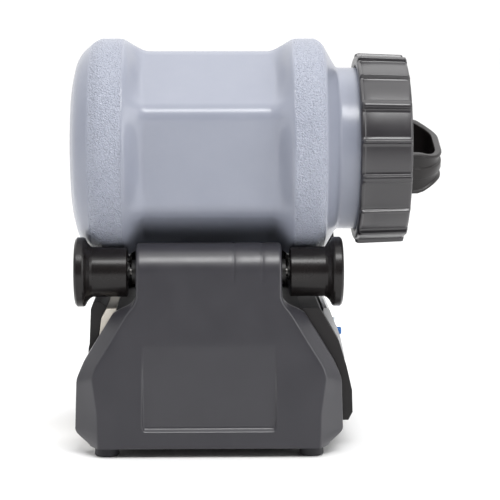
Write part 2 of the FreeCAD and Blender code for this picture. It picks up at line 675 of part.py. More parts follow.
def control_housing():
    """Dark moulding that bulges from the front end and carries the controls."""
    body = new_body("ControlHousing")
    side = [("cap_start_x+0.2", "deck_up"), ("93.5", "deck_up"), ("101.5", "106"), ("109.7", "92"),
            ("116.4", "70"), ("121", "50"), ("121.6", "31"), ("118", "24"), ("90", "24"),
            ("90", "wall_low"), ("cap_start_x+0.2", "wall_low")]
    extrude(body, "Pad", outline(body, "XZ_Plane", [side]), "2*housing_half", both=True)
    inner = [("76", "deck_up-3.5"), ("92", "deck_up-3.5"), ("99", "104.5"), ("106.7", "91"), ("113.2", "69.5"),
             ("117.6", "49.5"), ("118", "32"), ("115.5", "27"), ("87", "27"), ("87", "wall_low-1"), ("76", "wall_low-1")]
    extrude(body, "Pocket", outline(body, "XZ_Plane", [inner]), "2*housing_half-6", both=True)
    control_bores(body)
    keep(place(body), "control_housing")


def faceplate():
    """Pale convex plate over the upper part of the control housing."""
    body = new_body("Faceplate")
    side = [("97.05", "114"), ("101.65", "106"), ("109.85", "92"), ("115.3", "74"), ("116.2", "74"),
            ("112.2", "92", "90"), ("106.2", "107"), ("103", "115.5"), ("100.5", "117.5"), ("97.6", "117")]
    extrude(body, "Pad", outline(body, "XZ_Plane", [side]), "104", both=True)
    control_bores(body)
    keep(place(body), "faceplate")


def push_button(label, y, up, radius, wall):
    """Round button with a collar behind the wall and a stem that runs back to the control board."""
    corners = [("101.2", "0"), ("101.2", "2.5"), (f"{wall}-3.1", "2.5"), (f"{wall}-3.1", f"{radius}+1.1"),
               (f"{wall}-0.6", f"{radius}+1.1"), (f"{wall}-0.6", radius), ("115.8", radius),
               ("116.7", f"{radius}-0.9"), ("116.7", "0")]
    keep(turned(label, corners, y, up), label)


def control_board():
    """Circuit board behind the buttons, with a key switch for each."""
    body = new_body("Board")
    board = [("-20", "66"), ("46", "66"), ("46", "102"), ("-20", "102")]
    extrude(body, "Pad", outline(body, "YZ_Plane", [board], lift="93"), "1.6")
    for _, y, up, _, _ in BUTTONS:
        key = [(f"{y}{a}3.5", f"{up}{b}3.5") for a, b in ("--", "+-", "++", "-+")]
        extrude(body, "Pad", outline(body, "YZ_Plane", [key], lift="94.6"), "4")
    keep(place(body), "control_board")


def indicator():
    """Clear lens of the running light, between the two buttons."""
    body = new_body("Indicator")
    lens = outline(body, "YZ_Plane", rings=[(*LENS, "1.9")], lift="100")
    extrude(body, "Pad", lens, "11.6")
    keep(place(body), "indicator_lens")


def cord_gland():
    """Grommet in the rear wall through which a supply cord would leave."""
    corners = [("-84", "3.2"), ("-84", "5.3"), ("-97.5", "5.3"), ("-97.5", "8"), ("-104", "6"), ("-104", "3.2")]
    keep(turned("Gland", corners, "-42", "22"), "cord_gland")


# ---------------------------------------------------------------- drive
def motor_spots(x):
    return [(x, f"motor_y{a}12", f"motor_up{b}12") for a in ("+", "-") for b in ("+", "-")]


def motor():
    """Motor can and end cap, with running bores for the motor shaft."""
    can = turned("MotorCan", [("-20", "shaft_rad+0.05"), ("-20", "motor_rad-2"), ("-18", "motor_rad"),
                              ("34", "motor_rad"), ("34", "motor_rad-2"), ("-17", "motor_rad-2"),
                              ("-17", "shaft_rad+0.05")], "motor_y", "motor_up")
    rings = [("%s12" % a, "%s12" % b, "1.5") for a in ("", "-") for b in ("", "-")]
    extrude(can, "Pocket", outline(can, "YZ_Plane", rings=rings, lift="-15"), "8")
    keep(can, "motor_can")
    cap = [("34", "shaft_rad+0.05"), ("34", "motor_rad"), ("38", "motor_rad-2"), ("39", "8"),
           ("41", "8"), ("41", "shaft_rad+0.05")]
    keep(turned("MotorCap", cap, "motor_y", "motor_up"), "motor_end_cap")


def motor_bracket():
    """Bent steel bracket: an upright for the motor's face and a foot on the bottom plate."""
    body = new_body("Bracket")
    under = "base_low+plate_thick"
    side = [("-22", under), ("-22", "motor_up+20"), ("-20", "motor_up+20"), ("-20", under + "+2"),
            ("20", under + "+2"), ("20", under)]
    extrude(body, "Pad", outline(body, "XZ_Plane", [side]), "44", both=True)
    rings = [("0", "motor_up", "7")]
    rings += [("%s12" % a, "motor_up%s12" % b, "1.6") for a in ("", "-") for b in ("+", "-")]
    extrude(body, "Pocket", outline(body, "YZ_Plane", rings=rings, lift="-15"), "12")
    feet_rings = [("8", "16", "1.5"), ("8", "-16", "1.5")]
    extrude(body, "Pocket", outline(body, "XY_Plane", rings=feet_rings, lift="20"), "15")
    keep(place(body, "base_mid", "motor_y"), "motor_bracket")


def motor_fixings():
    screw = turned("MotorScrew", [("-24.2", "0"), ("-24.2", "3"), ("-22", "3"), ("-22", "1.5"),
                                  ("-16", "1.5"), ("-16", "0")])
    repeated("motor_screws", screw, motor_spots("0"))
    short = upright("BracketScrew", [("0", "6"), ("3", "6"), ("3", "base_low"), ("1.5", "base_low"),
                                     ("1.5", "14.5"), ("0", "14.5")])
    repeated("bracket_screws", short, [("base_mid+8", f"motor_y{a}16", "0") for a in ("+", "-")])


def motor_turning_parts():
    """Shaft, rotor, small pulley and fan."""
    shaft = [("belt_x-7", "0"), ("belt_x-7", "shaft_rad"), ("52", "shaft_rad"), ("52", "0")]
    keep(turned("MotorShaft", shaft, "motor_y", "motor_up"), "motor_shaft")
    rotor = [("-12", "shaft_rad"), ("-12", "motor_rad-5"), ("28", "motor_rad-5"), ("28", "shaft_rad")]
    keep(turned("Rotor", rotor, "motor_y", "motor_up"), "motor_rotor")
    keep(pulley("SmallPulley", "belt_x", "small_pulley_rad", "shaft_rad", "motor_y", "motor_up"), "motor_pulley")
    hub = [("44", "shaft_rad"), ("44", "9"), ("51", "9"), ("51", "shaft_rad")]
    fan = turned("Fan", hub, "motor_y", "motor_up")
    blade = [("44.5", "8"), ("50.5", "8"), ("50.5", "22"), ("44.5", "22")]
    pad = extrude(fan, "Pad", outline(fan, "XZ_Plane", [blade]), "1.4", both=True)
    array = fan.newObject("PartDesign::PolarPattern", "FanBlades")
    array.Originals = [pad]
    array.Axis = (origin_plane(fan, "X_Axis"), [""])
    array.Angle = 360
    array.Occurrences = 8
    fan.Tip = array
    keep(fan, "cooling_fan")


def belt_path():
    """Closed centre line of the belt round both pulleys, in the pulleys' own plane."""
    low = FreeCAD.Vector(0, size("motor_y"), size("motor_up"))
    high = FreeCAD.Vector(0, size("shaft_off"), size("shaft_up"))
    small = size("small_pulley_rad")
    large = size("pulley_rad")
    line = high - low
    tilt = math.atan2(line.z, line.y)
    swing = math.acos((small - large) / line.Length)

    def rim(centre, radius, angle):
        return centre + FreeCAD.Vector(0, math.cos(angle), math.sin(angle)) * radius

    first = rim(low, small, tilt + swing)
    second = rim(high, large, tilt + swing)
    third = rim(high, large, tilt - swing)
    fourth = rim(low, small, tilt - swing)
    over = Part.Arc(second, rim(high, large, tilt), third).toShape()
    under = Part.Arc(fourth, rim(low, small, tilt + math.pi), first).toShape()
    sides = [Part.makeLine(first, second), Part.makeLine(third, fourth)]
    return Part.Wire([sides[0], over, sides[1], under]), first, second - first


def drive_belt():
    """Round belt from the motor to the far roller shaft."""
    path, start, direction = belt_path()
    profile = Part.Wire(Part.makeCircle(1.8, start, direction))
    belt = skin("Belt", path.makePipeShell([profile], True, False))
    keep(place(belt, "base_mid+belt_x"), "drive_belt")


def drive():
    motor()
    motor_bracket()
    motor_fixings()
    motor_turning_parts()
    drive_belt()
    large = pulley("LargePulley", "belt_x", "pulley_rad", "shaft_rad", "shaft_off", "shaft_up")
    keep(large, "driven_pulley")


# ---------------------------------------------------------------- whole machine
def build():
    drum_shell()
    lid_disc()
    lid_gasket()
    lock_ring()
    for side, y in (("Near", "-shaft_off"), ("Far", "shaft_off")):
        shaft_line(side, y)
        bushings(side, y)
    side_covers()
    base_housing()
    bottom_plate()
    feet()
    rear_panel()
    rear_louvre()
    control_housing()
    faceplate()
    for button in BUTTONS:
        push_button(*button)
    control_board()
    indicator()
    cord_gland()
    drive()


def check():
    """Stops if any object or sub-part is unsound."""
    for item in doc.Objects:
        if "Invalid" in item.State or "Error" in item.State:
            raise RuntimeError(f"{item.Label}: {item.State}")
    for item in nodes:
        shape = item.Shape
        if shape.isNull() or not shape.isValid() or not shape.Solids:
            raise RuntimeError(f"{item.Label}: bad shape")


build()
doc.recompute()
check()
os.makedirs("parts", exist_ok=True)
for item in nodes:
    item.Shape.exportStep(f"parts/{item.Label}.step")
    box = item.Shape.BoundBox
    spans = [f"{v:.1f}" for v in (box.XMin, box.XMax, box.YMin, box.YMax, box.ZMin, box.ZMax)]
    print(item.Label, len(item.Shape.Solids), f"{item.Shape.Volume:.0f}", *spans)
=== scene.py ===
import bmesh
import bpy
import json
import math
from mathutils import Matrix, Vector


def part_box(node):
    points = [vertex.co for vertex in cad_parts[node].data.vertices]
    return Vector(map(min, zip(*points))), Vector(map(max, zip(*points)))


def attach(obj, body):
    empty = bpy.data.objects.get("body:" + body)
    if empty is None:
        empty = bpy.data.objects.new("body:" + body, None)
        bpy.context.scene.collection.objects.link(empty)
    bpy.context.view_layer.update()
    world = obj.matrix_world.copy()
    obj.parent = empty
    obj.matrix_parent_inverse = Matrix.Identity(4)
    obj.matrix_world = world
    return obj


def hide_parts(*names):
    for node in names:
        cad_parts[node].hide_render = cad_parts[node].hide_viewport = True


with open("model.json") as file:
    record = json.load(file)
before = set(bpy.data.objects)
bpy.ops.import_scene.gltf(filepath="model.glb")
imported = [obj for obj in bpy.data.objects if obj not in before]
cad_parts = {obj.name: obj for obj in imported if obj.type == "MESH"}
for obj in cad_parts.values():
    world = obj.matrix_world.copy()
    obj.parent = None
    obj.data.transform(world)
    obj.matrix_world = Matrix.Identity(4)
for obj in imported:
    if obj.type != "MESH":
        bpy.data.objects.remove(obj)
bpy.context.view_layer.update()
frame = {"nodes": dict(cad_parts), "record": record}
MM = 0.001

# The middle of the base and the drum's axis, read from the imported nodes, in millimetres.
foot_low, foot_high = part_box("feet")
MID = (foot_low[0] + foot_high[0]) / 2 / MM
ring_low, ring_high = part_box("lid_gasket")
DRUM_UP = (ring_low[2] + ring_high[2]) / 2 / MM
shaft_low, shaft_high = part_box("near_shaft")
SHAFT_UP = (shaft_low[2] + shaft_high[2]) / 2 / MM
SHAFT_OFF = -(shaft_low[1] + shaft_high[1]) / 2 / MM

# Sizes in millimetres. Lengths along X are measured from the middle of the base.
BAND = 95.0                        # radius of the drum's two round bands
BAND_INSIDE = 90.0
FACET = 75.5                       # from the axis to the middle of a facet
FACET_ROUND = 17.0                 # radius of the corners between facets
FACET_TURN = 25.0                  # angle of one corner above the near side
MIDDLE_HALF = 78.0                 # half the length of the faceted middle
MIDDLE_STEPS = 130
DRUM_WALL = 4.0
DRUM_BACK = -117.5
NECK = 70.0
NECK_INSIDE = 64.5
NECK_END = 152.0
THREAD_PITCH = 12.0
THREAD_DEEP = 1.6


# ---------------------------------------------------------------- meshes
def new_piece(name, verts, faces, smooth=True):
    """A mesh object from vertices in millimetres."""
    mesh = bpy.data.meshes.new(name)
    mesh.from_pydata([tuple(c * MM for c in v) for v in verts], [], faces)
    mesh.validate()
    mesh.update()
    for poly in mesh.polygons:
        poly.use_smooth = smooth
    obj = bpy.data.objects.new(name, mesh)
    bpy.context.scene.collection.objects.link(obj)
    return obj


def finish_piece(obj, body, node_name, mat):
    """Gives a piece its material and body, and hides the CAD node that it replaces, if any."""
    obj.data.materials.clear()
    obj.data.materials.append(mat)
    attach(obj, body)
    if node_name:
        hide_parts(node_name)
    return obj


def arc_points(a, b, radius, count):
    """Points of the arc from a to b, without b. A positive radius has its centre left of the chord."""
    ax, ay = a
    bx, by = b
    chord = math.hypot(bx - ax, by - ay)
    rise = math.sqrt(max(radius * radius - chord * chord / 4, 0.0)) * (1 if radius > 0 else -1)
    cx = (ax + bx) / 2 - (by - ay) / chord * rise
    cy = (ay + by) / 2 + (bx - ax) / chord * rise
    start = math.atan2(ay - cy, ax - cx)
    end = math.atan2(by - cy, bx - cx)
    if radius > 0 and end < start:
        end += 2 * math.pi
    if radius < 0 and end > start:
        end -= 2 * math.pi
    r = abs(radius)
    steps = [start + (end - start) * i / count for i in range(count)]
    return [(cx + r * math.cos(t), cy + r * math.sin(t)) for t in steps]


def curve_points(corners, count=8):
    """An open outline. A corner is (x, y), or (x, y, radius) if an arc leaves it."""
    out = []
    for here, after in zip(corners, corners[1:]):
        if len(here) == 3:
            out += arc_points(here[:2], after[:2], here[2], count)
        else:
            out.append(here[:2])
    out.append(corners[-1][:2])
    return out


def grid_piece(name, rings, closed_rows=False):
    """A tube from rings of equal numbers of points, all closed round."""
    count = len(rings[0])
    verts = [p for ring in rings for p in ring]
    faces = []
    rows = len(rings) if closed_rows else len(rings) - 1
    for i in range(rows):
        a = i * count
        b = ((i + 1) % len(rings)) * count
        for j in range(count):
            k = (j + 1) % count
            faces.append((a + j, b + j, b + k, a + k))
    return new_piece(name, verts, faces)


def around(x, radius, angle):
    """A point of the drum, lid or ring, at an angle in degrees above the near side."""
    turn = math.radians(angle)
    return (MID + x, -radius * math.cos(turn), DRUM_UP + radius * math.sin(turn))


# ---------------------------------------------------------------- drum
def facet_radius(angle):
    """Radius of the six-sided section, with rounded corners."""
    corner = (angle - FACET_TURN + 30) % 60 - 30
    reach = (FACET - FACET_ROUND) / math.cos(math.radians(30))
    side = reach * math.sin(math.radians(corner))
    start = 30 - math.degrees(math.atan(reach * 0.5 / FACET))
    if abs(corner) < start:
        return reach * math.cos(math.radians(corner)) + math.sqrt(FACET_ROUND ** 2 - side * side)
    return FACET / math.cos(math.radians(30 - abs(corner)))


def middle_radius(x, angle):
    """The drum's middle, which swells out to meet the bands: more steeply at the corners of the section."""
    inward = min(x + MIDDLE_HALF, MIDDLE_HALF - x)
    facet = facet_radius(angle)
    corner = facet_radius(FACET_TURN)
    depth = (corner - facet) / (corner - FACET)
    start = 0.5 + 5 * depth
    end = 28 - 5 * depth
    share = min(max((inward - start) / (end - start), 0.0), 1.0)
    return facet + (BAND - facet) * (0.5 + 0.5 * math.cos(math.pi * share))


def round_profiles():
    """(x, radius) of the round parts: closed end, shoulder and neck, bore, and the closed end's inside."""
    closed_end = curve_points([
        (DRUM_BACK, 0.5), (DRUM_BACK, 33), (DRUM_BACK + 0.9, 53, -60), (DRUM_BACK + 3.6, 68, -30),
        (DRUM_BACK + 15.5, 88, -26), (DRUM_BACK + 26.5, BAND), (-84, BAND), (-79, BAND)], 10)
    neck = curve_points([
        (79, BAND), (85, BAND), (91, BAND, -16), (101, 85.2), (108.5, NECK + 2.5, 5), (112, NECK),
        (118, NECK), (128, NECK)], 9)
    neck += [(140, NECK), (151, NECK), (NECK_END, NECK - 1)]
    bore = [(NECK_END, NECK_INSIDE + 1), (NECK_END - 1, NECK_INSIDE), (108, NECK_INSIDE), (104, 68), (96, 82),
            (90, BAND_INSIDE), (70, BAND_INSIDE)]
    inside_end = [(-78, BAND_INSIDE), (-90, BAND_INSIDE - 1), (-101, 82), (-109, 64), (-113, 40), (-113, 0.5)]
    return closed_end, neck, bore, inside_end


def drum_rings(count):
    """Rings of the drum's skin from the closed end to the mouth, then back down the inside."""
    turns = [360 * j / count for j in range(count)]
    closed_end, neck, bore, inside_end = round_profiles()

    def round_ring(x, radius):
        return [around(x, radius, a) for a in turns]

    def middle_ring(x, wall):
        return [around(x, middle_radius(x, a) - wall, a) for a in turns]

    rings = [round_ring(x, r) for x, r in closed_end]
    for i in range(MIDDLE_STEPS + 1):
        rings.append(middle_ring(-MIDDLE_HALF + 2 * MIDDLE_HALF * i / MIDDLE_STEPS, 0))
    rings += [round_ring(x, r) for x, r in neck + bore]
    rings += [middle_ring(x, DRUM_WALL) for x in (60, 40, 0, -40, -60)]
    rings += [round_ring(x, r) for x, r in inside_end]
    return rings


def drum_piece(mat):
    obj = grid_piece("drum_skin", drum_rings(360))
    return finish_piece(obj, "drum", "drum_shell", mat)


def thread_piece(name, body, root, crest, start, turns, mat):
    """A screw thread: one ridge that winds along X and sinks away at both ends."""
    steps = int(96 * turns)
    rings = []
    for k in range(steps + 1):
        share = k / steps
        rise = min(1.0, 12 * min(share, 1 - share))
        top = root + (crest - root) * rise
        low = root - (crest - root) * 0.3
        x = start + THREAD_PITCH * turns * share
        section = ((-1.9, low), (-0.8, top), (0.8, top), (1.9, low))
        rings.append([around(x + away, r, 360 * turns * share) for away, r in section])
    obj = grid_piece(name, rings)
    tidy_mesh(obj)
    return finish_piece(obj, body, None, mat)


# ---------------------------------------------------------------- side covers
LEAN = math.radians(8.5)           # the face leans back
LEAN_SIN = math.sin(LEAN)
LEAN_COS = math.cos(LEAN)
COVER_LOW = 8.0
COVER_TOE = -105.5
COVER_BACK = -70.0
FLANK_DEEP = 13.0                  # depth of the slope between the face and the skirt's rim
TOWER_HALF = 61.0
TOWER_RAD = 24.5
TOWER_BACK = 120.0
SHAFT_BORE = 8.2
FACE_ROUND = 3.0
RIM_ROUND = 1.4
# Half-widths of the face and of the skirt behind it, as (height up the leaning face, half-width).
FACE_EDGE = [(0, 92.5), (28.3, 93), (58.6, 97.6), (67.2, 95), (83.9, 84.5), (111.2, 68), (118, 63.5),
             (124.4, TOWER_HALF), (148, TOWER_HALF)]
SKIRT_EDGE = [(0, 98.5), (12.1, 112), (55.6, 111), (69.8, 105), (91.4, 92), (112.5, 79), (116.2, 67.5),
              (123.3, TOWER_HALF), (148, TOWER_HALF)]
PANEL_HALF = 55.5
PANEL_LOW = 14.0
PANEL_HIGH = 86.0
PANEL_DEEP = 3.2
FACE_FLAT = 57.2                   # half-width of the part that is sampled in straight columns
TOP_GROOVES = (20.8, 44.5)         # two fine grooves over the top of a tower
GROOVE_LOW = 138.0
TOWER_START = 124.5
PAST_FACE = 150.0                  # stands for every height on the tower's top and back


def along(table, at):
    """Straight interpolation in a list of (position, value), with the corners eased."""
    def plain(v):
        v = min(max(v, table[0][0]), table[-1][0])
        for (a, fa), (b, fb) in zip(table, table[1:]):
            if v <= b:
                return fa + (fb - fa) * (v - a) / (b - a)
        return table[-1][1]
    return sum(plain(at + step) for step in (-2.4, -1.2, 0, 1.2, 2.4)) / 5


def ease(x, low, high):
    """0 below low, 1 above high, smooth between."""
    t = min(max((x - low) / (high - low), 0.0), 1.0)
    return t * t * (3 - 2 * t)


def panel_depth(u, v):
    """How far the face's panel sinks in: deeper towards its lower ledge."""
    slope = PANEL_DEEP * min(max((PANEL_HIGH - v) / (PANEL_HIGH - PANEL_LOW), 0.0), 1.0)
    corner = max(PANEL_LOW + 5 - v, 0.0) * max(abs(u) - PANEL_HALF + 5, 0.0) / 14
    inside = 1 - ease(abs(u) + corner, PANEL_HALF - 1.1, PANEL_HALF + 0.9)
    return slope * inside * ease(v, PANEL_LOW - 0.6, PANEL_LOW + 2.6)


def groove_depth(u, v):
    """Depth of the two grooves, which fade in above GROOVE_LOW."""
    nearest = min(abs(u - line) for line in TOP_GROOVES)
    return 0.55 * (1 - ease(nearest, 0.25, 1.0)) * ease(v, GROOVE_LOW - 2, GROOVE_LOW + 2)


def flat_columns():
    """Distances from the middle of the face at which it is sampled, up to the panel's edge."""
    steps = [0, 5, 10, 15, 19, 20.2, 20.8, 21.4, 23, 28, 33, 38, 42, 43.9, 44.5, 45.1, 48, 51]
    return steps + [53.5, 54.1, 54.7, 55.3, 55.9, 56.5, FACE_FLAT]


def edge_columns(face, skirt, back):
    """(half-width, depth) pairs round the face's edge, down the flank, round the rim and back."""
    run = max(skirt - face, 0.001)
    slope = math.atan2(run, FLANK_DEEP)
    points = [(FACE_FLAT + (face - FACE_ROUND - FACE_FLAT) * k / 3, 0.0) for k in (1, 2)]
    turn = math.pi / 2 - slope
    reach = FACE_ROUND * math.tan(turn / 2)
    for k in range(7):
        t = turn * k / 6
        points.append((face - reach + FACE_ROUND * math.sin(t), FACE_ROUND * (1 - math.cos(t))))
    reach = RIM_ROUND * math.tan(slope / 2)
    way = (math.sin(slope), math.cos(slope))
    for k in (0.35, 0.7):
        points.append((face + run * k, FLANK_DEEP * k))
    start = (skirt - way[0] * reach, FLANK_DEEP - way[1] * reach)
    for k in range(6):
        t = slope * (1 - k / 5)
        along_rim = RIM_ROUND * (math.cos(t) - math.cos(slope))
        down_rim = RIM_ROUND * (math.sin(slope) - math.sin(t))
        points.append((start[0] + along_rim, start[1] + down_rim))
    points.append((skirt, (FLANK_DEEP + back) / 2))
    points.append((skirt, back))
    return points


def face_point(v):
    """(y, z) of the leaning face at a height up it."""
    return COVER_TOE + v * LEAN_SIN, COVER_LOW + v * LEAN_COS


def both_sides(half, place):
    """A row from -X to +X, from the (half-width, depth) pairs of one half."""
    row = [place(-u, deep) for u, deep in reversed(half)]
    return row + [place(u, deep) for u, deep in half[1:]]


def lower_rows():
    """Rows of the cover from its lower edge to the foot of the tower."""
    heights = [0, 1, 3, 6, 9, 11, 12.5, 13.4, 14, 14.6, 15.3, 16, 16.8, 18, 21, 25, 30, 36, 42, 48,
               53, 56, 59, 62, 65, 68, 71, 75, 80, 84, 87, 91, 96, 101, 105, 108, 110, 111.5, 113,
               114.2, 115.2, 116.2, 117.5, 119, 120.8, 122.6, TOWER_START]
    rows = []
    for v in heights:
        y, z = face_point(v)
        half = [(u, 0.0) for u in flat_columns()]
        half += edge_columns(along(FACE_EDGE, v), along(SKIRT_EDGE, v), COVER_BACK - y)

        def place(u, deep):
            sunk = panel_depth(u, v) if abs(u) < 60 else 0.0
            return (MID + u, y + deep + sunk, z)

        rows.append(both_sides(half, place))
    return rows


def tower_path():
    """(y, z, inward y, inward z, height) up the leaning face, over the round top and down the back."""
    path = []
    for v in (TOWER_START, 128, 132, 136, 138, 140, 143):
        path.append((*face_point(v), LEAN_COS, -LEAN_SIN, v))
    for k in range(25):
        t = (math.pi - LEAN) * (1 - k / 24)
        y = -SHAFT_OFF + TOWER_RAD * math.cos(t)
        z = SHAFT_UP + TOWER_RAD * math.sin(t)
        path.append((y, z, -math.cos(t), -math.sin(t), PAST_FACE))
    for z in (140, 130, TOWER_BACK + 0.2):
        path.append((-SHAFT_OFF + TOWER_RAD, z, -1, 0, PAST_FACE))
    return path


def tower_rows():
    """Rows over the tower, with its rounded side edges."""
    half = [(u, 0.0) for u in flat_columns()]
    for k in range(7):
        t = math.pi / 2 * k / 6
        half.append((TOWER_HALF - FACE_ROUND + FACE_ROUND * math.sin(t), FACE_ROUND * (1 - math.cos(t))))
    rows = []
    for y, z, in_y, in_z, v in tower_path():

        def place(u, deep):
            sunk = deep + groove_depth(u, v)
            return (MID + u, y + in_y * sunk, z + in_z * sunk)

        rows.append(both_sides(half, place))
    return rows


def tower_end(side):
    """Flat end of a tower between its rounded edge and the shaft's bore."""
    outer = [(y + in_y * FACE_ROUND, z + in_z * FACE_ROUND) for y, z, in_y, in_z, _ in tower_path()]
    outer.insert(0, (outer[0][0] - 1.2, TOWER_BACK))
    first, last = outer[-1], outer[0]
    outer += [(first[0] + (last[0] - first[0]) * k / 5, TOWER_BACK) for k in range(1, 5)]
    rings = []
    for share in (1.0, 0.5, 0.0):
        ring = []
        for y, z in outer:
            away = math.hypot(y + SHAFT_OFF, z - SHAFT_UP)
            scale = (SHAFT_BORE + (away - SHAFT_BORE) * share) / away
            ring.append((MID + side * TOWER_HALF, -SHAFT_OFF + (y + SHAFT_OFF) * scale,
                         SHAFT_UP + (z - SHAFT_UP) * scale))
        rings.append(ring)
    return rings


def add_grid(verts, faces, rows, closed=False):
    """Appends a grid of rows to vertex and face lists."""
    base = len(verts)
    count = len(rows[0])
    for row in rows:
        verts.extend(row)
    for i in range(len(rows) - 1):
        for j in range(count if closed else count - 1):
            k = (j + 1) % count
            a = base + i * count
            b = a + count
            faces.append((a + j, a + k, b + k, b + j))


def tidy_mesh(obj):
    """Joins touching edges and turns all faces outwards."""
    bm = bmesh.new()
    bm.from_mesh(obj.data)
    bmesh.ops.remove_doubles(bm, verts=bm.verts, dist=0.00005)
    bmesh.ops.recalc_face_normals(bm, faces=bm.faces)
    for face in bm.faces:
        face.smooth = True
    bm.to_mesh(obj.data)
    bm.free()


def side_cover(name, node_name, mirror, mat):
    verts = []
    faces = []
    add_grid(verts, faces, lower_rows())
    add_grid(verts, faces, tower_rows())
    for side in (-1, 1):
        add_grid(verts, faces, tower_end(side), closed=True)
    if mirror:
        verts = [(x, -y, z) for x, y, z in verts]
    obj = new_piece(name, verts, faces)
    tidy_mesh(obj)
    return finish_piece(obj, "base", node_name, mat)


def round_edges(obj, width, segments, angle=None):
    """A Bevel modifier, on every edge or on those sharper than an angle in degrees."""
    bevel = obj.modifiers.new("edge", "BEVEL")
    bevel.width = width * MM
    bevel.segments = segments
    if angle:
        bevel.limit_method = "ANGLE"
        bevel.angle_limit = math.radians(angle)


RIDGE_LONG = 14.0
RIDGE_LOW, RIDGE_HIGH = 120.0, 128.2
RIDGE_NEAR, RIDGE_FAR = 62.0, 68.0


def deck_ridges(mat):
    """Low ridges on the deck beneath the far rollers' inner ends, which close the slot under the shaft."""
    for name, start in (("deck_ridge_rear", -76.0), ("deck_ridge_front", 62.0)):
        verts = []
        for x in (MID + start, MID + start + RIDGE_LONG):
            verts += [(x, RIDGE_NEAR, RIDGE_LOW), (x, RIDGE_FAR, RIDGE_LOW),
                      (x, RIDGE_FAR, RIDGE_HIGH), (x, RIDGE_NEAR, RIDGE_HIGH)]
        faces = [(0, 1, 2, 3), (7, 6, 5, 4), (0, 4, 5, 1), (1, 5, 6, 2), (2, 6, 7, 3), (3, 7, 4, 0)]
        obj = new_piece(name, verts, faces, smooth=False)
        tidy_mesh(obj)
        round_edges(obj, 1.0, 3)
        finish_piece(obj, "base", None, mat)


# ---------------------------------------------------------------- lock ring
RING_START = 126.6
RING_LONG = 43.4
RING_RAD = 79.3
RING_BORE = 72.4
RIB_RAD = 83.0
RIB_TAPER = 1.7                    # the ribs get this much lower along the ring
RIBS = 16
RIB_PITCH = 360 / RIBS
RIB_TURN = 7.8                     # the first narrow rib, above the near side
RIB_NARROW, RIB_WIDE = 0.95, 2.1   # half-widths in degrees: wide and narrow ribs take turns
RIB_FLANK = 0.4
PANEL_HOLLOW = 0.35


def rib_half(number):
    return RIB_WIDE if number % 2 else RIB_NARROW


def rib_height(turn):
    """0 between the ribs and 1 on a rib."""
    number = round((turn - RIB_TURN) / RIB_PITCH)
    off = abs(turn - RIB_TURN - number * RIB_PITCH)
    half = rib_half(number)
    return 1 - ease(off, half - 0.35, half + 0.35)


def ring_turns():
    """Angles round the ring, close together at the flanks of every rib."""
    turns = []
    for number in range(RIBS):
        middle = RIB_TURN + number * RIB_PITCH
        half = rib_half(number)
        turns += [middle - half + off for off in (-RIB_FLANK, -0.1, 0.15, RIB_FLANK)]
        turns += [middle + half + off for off in (-RIB_FLANK, -0.15, 0.1, RIB_FLANK)]
        start = middle + half + RIB_FLANK
        end = middle + RIB_PITCH - rib_half(number + 1) - RIB_FLANK
        turns += [start + (end - start) * k / 9 for k in range(1, 9)]
    return turns


def ring_radius(away, rise, ribbed, turn):
    """Outside radius at a distance along the ring: faintly hollowed panels between the ribs."""
    across = ((turn - RIB_TURN) % RIB_PITCH) / (RIB_PITCH / 2) - 1
    plain = RING_RAD + rise - PANEL_HOLLOW * (1 - across ** 2) * ribbed
    tip = RIB_RAD - RIB_TAPER * away / RING_LONG
    return plain + (tip - RING_RAD - rise) * rib_height(turn) * ribbed


def lock_ring(mat):
    """Screw ring: ribbed outside, a lip at the drum's side, and a smooth inside."""
    # (distance along the ring, rise above RING_RAD, how much of the ribs shows)
    outside = [(0.0, -1.2, 0), (0.5, -0.3, 0), (1.2, 0.5, 0.6), (3.0, 0.7, 0.9), (3.6, 0.3, 1), (4.2, 0.0, 1),
               (14, -0.1, 1), (26, -0.4, 1), (38.5, -0.8, 1), (41, -1.0, 1), (42.4, -1.4, 0.9),
               (43.1, -2.4, 0.4), (RING_LONG, -3.6, 0)]
    inside = [(RING_LONG, 68), (RING_LONG, 60.2), (36.8, 59.8), (36.6, RING_BORE), (1, RING_BORE),
              (0, RING_BORE + 0.6)]
    turns = ring_turns()
    rings = []
    for away, rise, ribbed in outside:
        rings.append([around(RING_START + away, ring_radius(away, rise, ribbed, a), a) for a in turns])
    for away, radius in inside:
        rings.append([around(RING_START + away, radius, a) for a in turns])
    obj = grid_piece("screw_ring", rings, closed_rows=True)
    tidy_mesh(obj)
    return finish_piece(obj, "ring", "lock_ring", mat)


# ---------------------------------------------------------------- lid and grip
GRIP_FOOT = 167.0
GRIP_TIP = 201.4
GRIP_HALF = 40.0
GRIP_BEND = 22.0
GRIP_TURN = math.radians(20)
GRIP_LOW = 7.0                     # the strap's middle lies this far below the lid's
GRIP_BAR = 6.5                     # thickness of the strap
GRIP_WIDE, GRIP_NARROW = 38.0, 25.0
CHANNEL_DEEP = 2.0


def grip_section(width):
    """(across, outward) points of the strap's section, with two channels in its outer face."""
    half = width / 2
    rim = half - 2.6
    web = half * 0.26
    floor = GRIP_BAR - CHANNEL_DEEP
    return [(-half + 1, 0), (half - 1, 0), (half, 1), (half, GRIP_BAR - 1.2), (half - 1.2, GRIP_BAR),
            (rim, GRIP_BAR), (rim - 0.8, floor), (web + 0.8, floor), (web, GRIP_BAR), (-web, GRIP_BAR),
            (-web - 0.8, floor), (-rim + 0.8, floor), (-rim, GRIP_BAR), (-half + 1.2, GRIP_BAR),
            (-half, GRIP_BAR - 1.2), (-half, 1)]


